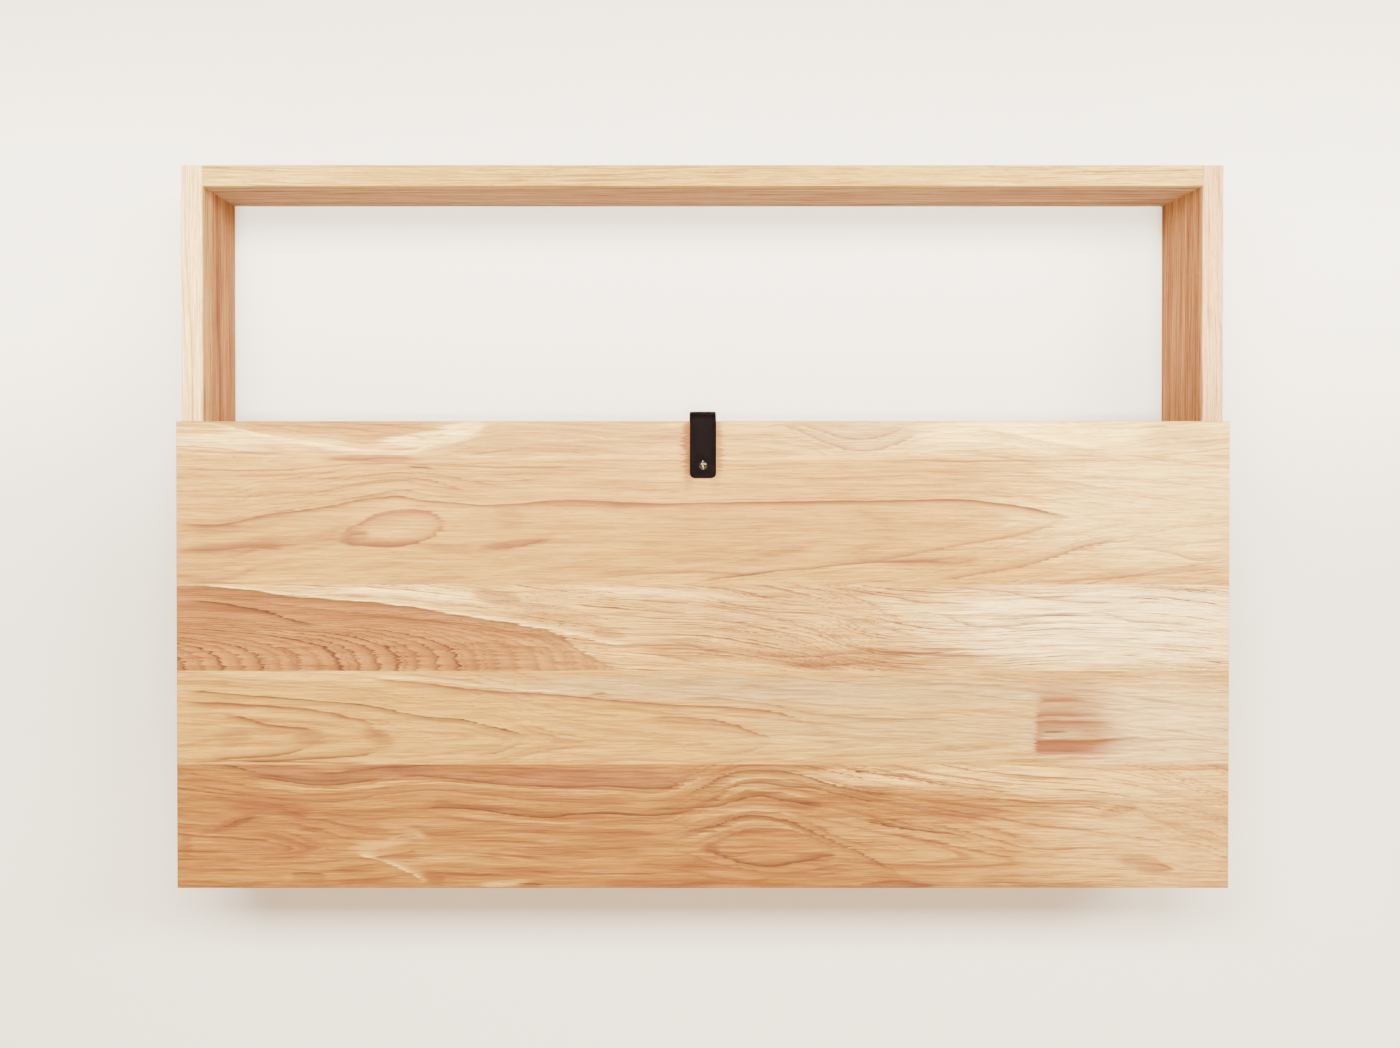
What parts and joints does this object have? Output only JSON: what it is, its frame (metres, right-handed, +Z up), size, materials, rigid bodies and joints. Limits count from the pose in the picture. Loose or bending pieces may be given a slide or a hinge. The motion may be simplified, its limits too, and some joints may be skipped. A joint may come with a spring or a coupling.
{
  "type": "wall desk",
  "caption": "Shallow wooden wall desk: an open upper bay over a fall front of glued staves with a folded leather pull.",
  "frame": {"origin": "middle of the wall bar's screw line, in the plane of the wall", "axes": "+X along the desk to the right as seen from the room, -Y into the room, +Y into the wall, +Z up"},
  "size_m": [1, 0.1587, 0.69],
  "materials": {
    "front_wood": "oiled, satin",
    "carcass_wood": "oiled, satin",
    "insert_wood": "oiled, satin",
    "back_ply": "oiled, satin",
    "dowel_wood": "oiled, satin",
    "pull_leather": "waxed, dark brown",
    "brass": "satin",
    "steel": "satin",
    "bar_aluminium": "mill finish, brushed",
    "magnet_nickel": "nickel plated",
    "pad_rubber": "clear grey"
  },
  "bodies": {
    "carcass": {"left_side": "carcass_wood", "right_side": "carcass_wood", "top_board": "carcass_wood", "middle_shelf": "carcass_wood", "bottom_board": "carcass_wood", "mounting_rail": "carcass_wood", "letter_shelf": "insert_wood", "left_divider": "insert_wood", "right_divider": "insert_wood", "back_panel": "back_ply", "left_loose_tongues": "dowel_wood", "right_loose_tongues": "dowel_wood", "left_stay_guide": "brass", "right_stay_guide": "brass", "left_hinge_carcass_leaf": "brass", "right_hinge_carcass_leaf": "brass", "left_hinge_pin": "brass", "right_hinge_pin": "brass", "wall_bar": "bar_aluminium", "hanging_bar": "bar_aluminium", "flap_magnets": "magnet_nickel", "bumper_pads": "pad_rubber"},
    "flap": {"top_stave_board": "front_wood", "second_stave_board": "front_wood", "third_stave_board": "front_wood", "fourth_stave_board": "front_wood", "bottom_stave_board": "front_wood", "leather_pull": "pull_leather", "pull_screw": "steel", "pull_barrel_nut": "steel", "magnet_strikes": "steel", "left_hinge_flap_leaf": "brass", "right_hinge_flap_leaf": "brass", "left_quadrant_stay": "brass", "right_quadrant_stay": "brass", "left_stop_pin": "brass", "right_stop_pin": "brass"}
  },
  "joints": [
    {"name": "flap_hinge", "type": "hinge", "parent": "carcass", "child": "flap", "pos_m": [0, -0.1307, -0.3433], "axis": [1, 0, 0], "range_deg": [0, 90]}
  ]
}
